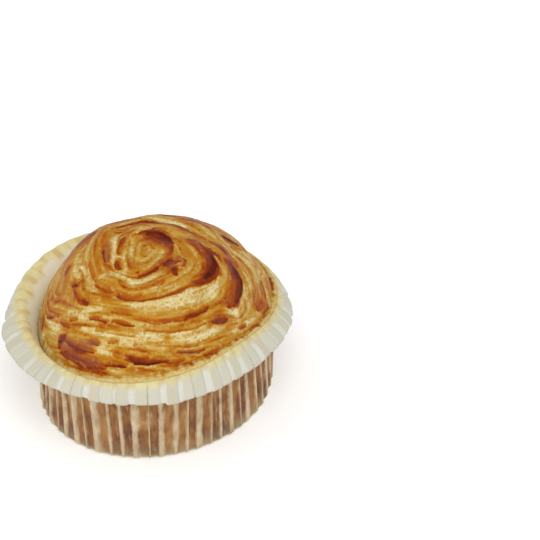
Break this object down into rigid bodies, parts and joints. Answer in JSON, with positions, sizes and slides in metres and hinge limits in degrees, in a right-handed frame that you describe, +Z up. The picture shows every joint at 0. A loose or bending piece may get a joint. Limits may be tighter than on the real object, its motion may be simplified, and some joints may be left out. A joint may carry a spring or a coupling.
{
  "type": "laminated sugar brioche",
  "caption": "Round laminated brioche baked to a swirled, egg-washed dome in a pleated paper case with a turned-down skirt.",
  "frame": {"origin": "on the surface that the paper case stands on, under the middle of the whole's bounding box", "axes": "+Z up, -Y towards the front that the picture was taken from, +X to the right"},
  "size_m": [0.1028, 0.0974, 0.0649],
  "materials": {
    "paper": "matte",
    "baked_dough": "satin"
  },
  "bodies": {
    "root": {"paper_case": "paper", "brioche": "baked_dough"}
  },
  "joints": []
}
